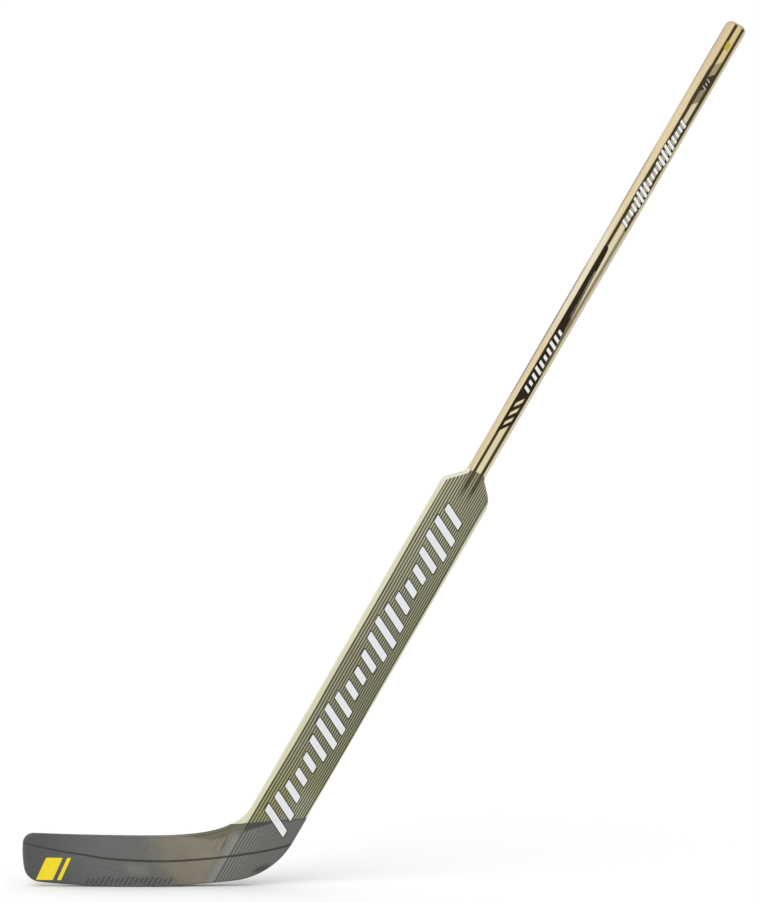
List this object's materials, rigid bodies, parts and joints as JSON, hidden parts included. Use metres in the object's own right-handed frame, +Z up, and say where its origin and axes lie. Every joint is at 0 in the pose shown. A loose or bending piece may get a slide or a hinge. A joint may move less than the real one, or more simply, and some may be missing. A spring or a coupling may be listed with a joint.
{
  "type": "hockey goalie stick",
  "caption": "Ice hockey goalie stick: laminated wood shaft running down through a wide foam paddle with printed glass skins, and a curved blade in a grey glass wrap.",
  "frame": {"origin": "centre of the shaft where the stick hand closes round it, just above the paddle", "axes": "+Z up with the middle of the sole level on the ice; the blade points to -X and the shaft leans to +X; -Y is the front face, +Y the back face"},
  "size_m": [1.0732, 0.0343, 1.3111],
  "materials": {
    "shaft_core_wood": "clear lacquer over pale aspen",
    "shaft_ply_wood": "clear lacquer over birch",
    "shaft_outer_wood": "clear lacquer over birch",
    "shaft_face": "clear glass sheet over wood, printed with dark lines",
    "paddle_foam": "resin-sealed pale foam",
    "paddle_print": "satin glass skin printed with dark pinstripes",
    "blade_foam": "raw foam",
    "blade_glass": "glass cloth in resin",
    "wrap_grey": "smoky grey glass cloth in resin, satin"
  },
  "bodies": {
    "root": {"shaft_centre_ply": "shaft_core_wood", "shaft_inner_ply_front": "shaft_ply_wood", "shaft_inner_ply_back": "shaft_ply_wood", "shaft_outer_ply_front": "shaft_outer_wood", "shaft_outer_ply_back": "shaft_outer_wood", "shaft_face_sheet_front": "shaft_face", "shaft_face_sheet_back": "shaft_face", "paddle_rail_inner": "paddle_foam", "paddle_rail_outer": "paddle_foam", "paddle_skin_front": "paddle_print", "paddle_skin_back": "paddle_print", "blade_core": "blade_foam", "blade_skin_front": "blade_glass", "blade_skin_back": "blade_glass", "blade_wrap": "wrap_grey"}
  },
  "joints": []
}
